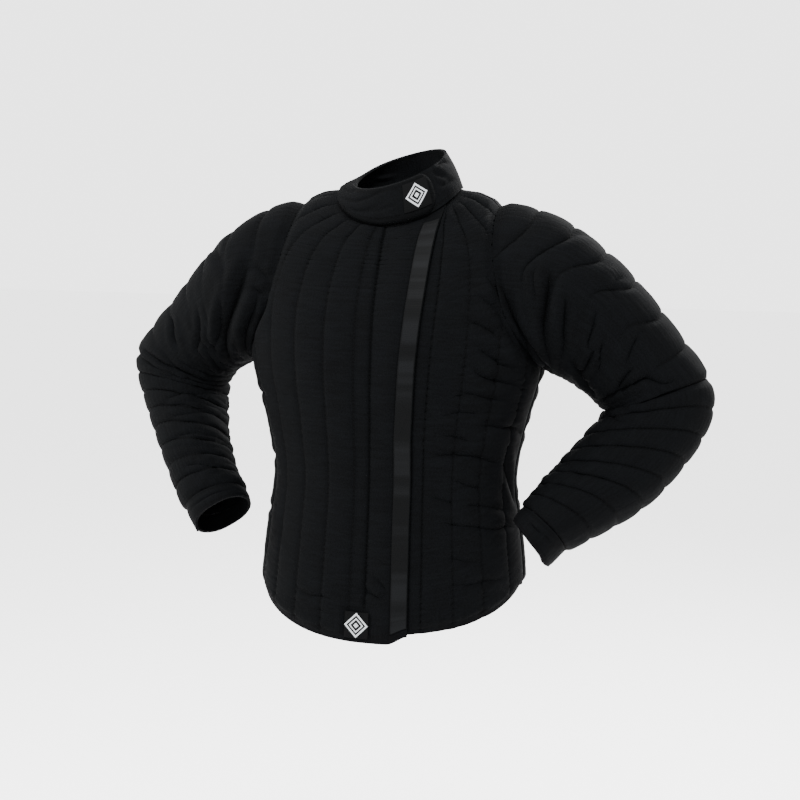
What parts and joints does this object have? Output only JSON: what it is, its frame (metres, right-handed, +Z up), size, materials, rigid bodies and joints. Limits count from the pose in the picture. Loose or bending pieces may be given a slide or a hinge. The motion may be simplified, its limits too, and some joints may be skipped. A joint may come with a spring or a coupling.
{
  "type": "fencing jacket",
  "caption": "Quilted dark fencing jacket, filled out hands-on-hips, with lap front, taped edge, stand collar, throat tab and plain cuffs.",
  "frame": {"origin": "middle of the neck at the level of the shoulders' neck points, where the wearer's neck comes through", "axes": "+Z up, the wearer faces -Y, +X to the wearer's left"},
  "size_m": [0.8522, 0.2808, 0.6724],
  "materials": {
    "quilted_cloth": "matt woven cotton, quilted",
    "collar_cloth": "matt woven cotton",
    "smooth_tape": "smooth tape, faint sheen",
    "patch_cloth": "flat woven patch"
  },
  "bodies": {
    "root": {"right_front": "quilted_cloth", "left_front": "quilted_cloth", "back": "quilted_cloth", "left_upper_sleeve": "quilted_cloth", "right_upper_sleeve": "quilted_cloth", "left_lower_sleeve": "quilted_cloth", "right_lower_sleeve": "quilted_cloth", "left_cuff": "collar_cloth", "right_cuff": "collar_cloth", "collar": "collar_cloth", "throat_tab": "collar_cloth", "closure_tape": "smooth_tape", "collar_patch": "patch_cloth", "hem_patch": "patch_cloth"}
  },
  "joints": []
}
